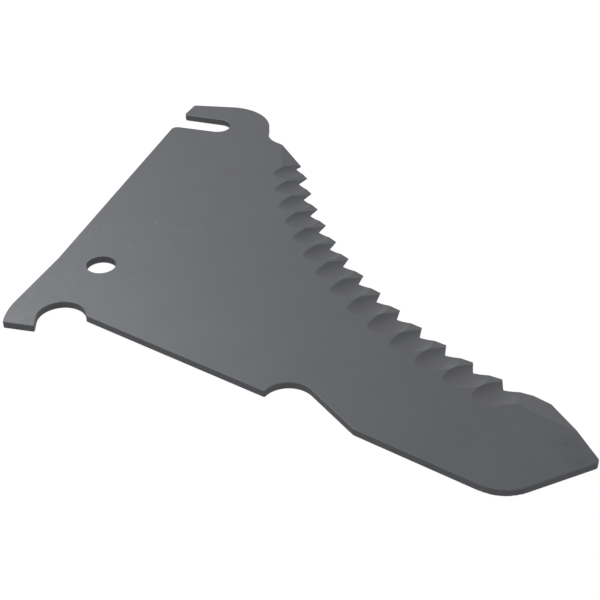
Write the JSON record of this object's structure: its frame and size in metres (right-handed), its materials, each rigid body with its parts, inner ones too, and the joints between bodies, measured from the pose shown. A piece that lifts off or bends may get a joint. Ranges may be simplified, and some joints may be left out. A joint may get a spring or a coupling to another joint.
{
  "type": "forage wagon knife",
  "caption": "Flat steel forage wagon knife with a ground serrated edge, a hooked head with an open slot, a pivot hole, round notches in its back and a pointed end.",
  "frame": {"origin": "centre of the pivot hole on the plain back face", "axes": "+X along the straight back edge towards the point, +Y towards the hooked head, +Z out of the ground face"},
  "size_m": [0.4407, 0.3225, 0.005],
  "materials": {
    "blade_steel": "dark satin"
  },
  "bodies": {
    "root": {"knife_blade": "blade_steel"}
  },
  "joints": []
}
